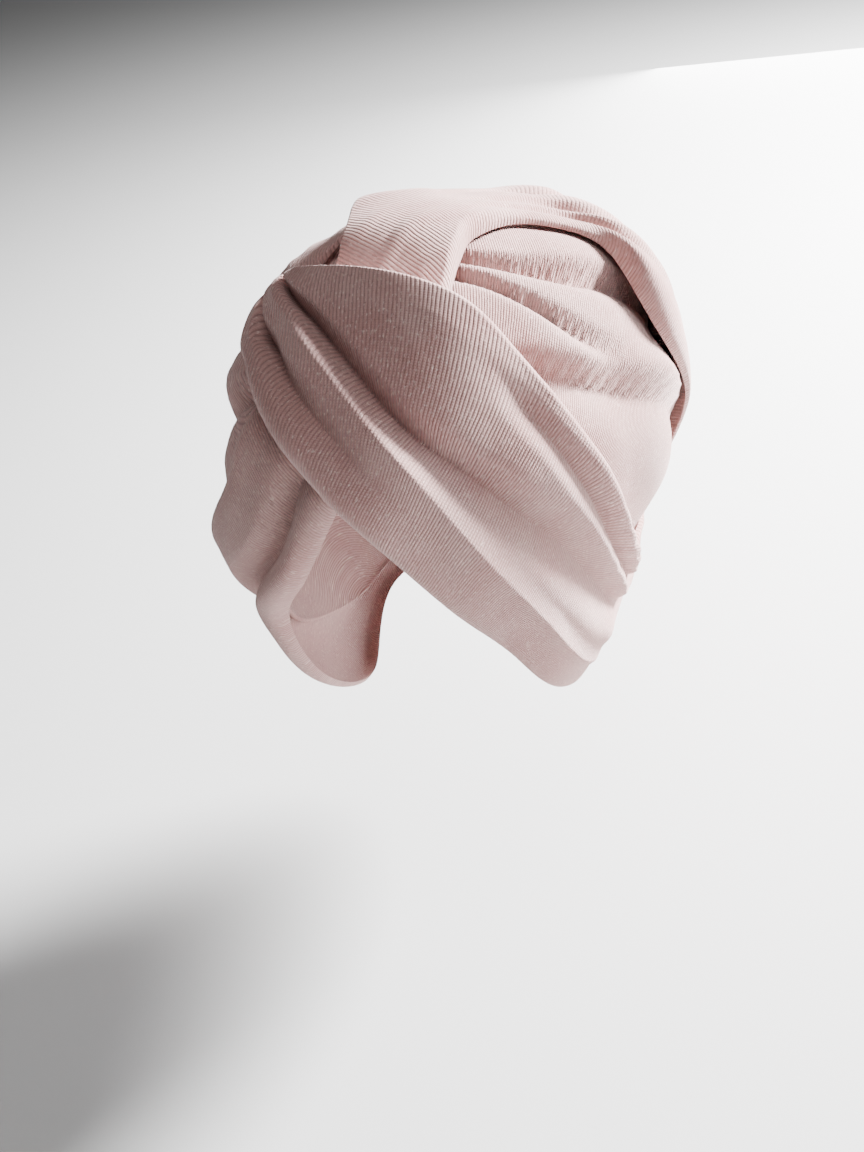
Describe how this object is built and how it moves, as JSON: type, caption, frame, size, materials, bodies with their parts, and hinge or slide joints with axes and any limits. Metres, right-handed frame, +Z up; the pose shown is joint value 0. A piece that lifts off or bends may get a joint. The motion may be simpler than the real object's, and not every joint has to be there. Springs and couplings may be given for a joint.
{
  "type": "turban headwrap",
  "caption": "Knitted turban headwrap in its worn form: two wide bands of cloth cross over the forehead, and a third passes over a full pleated crown.",
  "frame": {"origin": "inside of the crown, straight above the middle of the head, where the top of the head holds the wrap up", "axes": "+Z up, the wearer looks along -Y, +X is the wearer's left"},
  "size_m": [0.2106, 0.2702, 0.2519],
  "materials": {
    "crown_knit": "matt heathered fine-rib knit, dusty rose",
    "band_knit": "matt heathered fine-rib knit, dusty rose",
    "wrap_knit": "matt heathered fine-rib knit, dusty rose"
  },
  "bodies": {
    "root": {"crown": "crown_knit", "knot_turn": "wrap_knit", "over_crown_band": "band_knit", "right_front_wrap": "wrap_knit", "left_front_wrap": "wrap_knit"}
  },
  "joints": []
}
